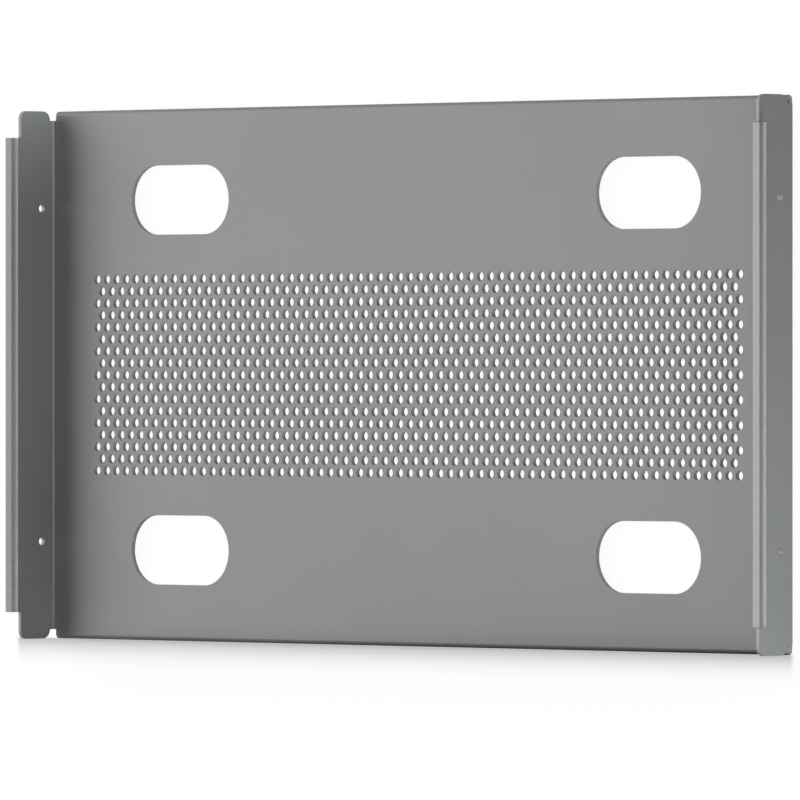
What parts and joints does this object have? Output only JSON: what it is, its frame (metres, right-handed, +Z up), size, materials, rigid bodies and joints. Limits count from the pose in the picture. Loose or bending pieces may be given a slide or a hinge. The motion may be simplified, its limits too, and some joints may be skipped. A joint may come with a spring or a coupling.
{
  "type": "rack shelf",
  "caption": "Shallow folded-steel rack shelf with a vented deck, slotted cable openings, upright side flanges and outward runner lips.",
  "frame": {"origin": "middle of the footprint, on the plane of the undersides of the front and rear hems", "axes": "+X across the width, +Y from the front hem to the rear hem, +Z up from the deck towards the runner lips"},
  "size_m": [0.4544, 0.23, 0.0274],
  "materials": {
    "coated_steel": "satin grey coat over folded steel"
  },
  "bodies": {
    "root": {"shelf": "coated_steel"}
  },
  "joints": []
}
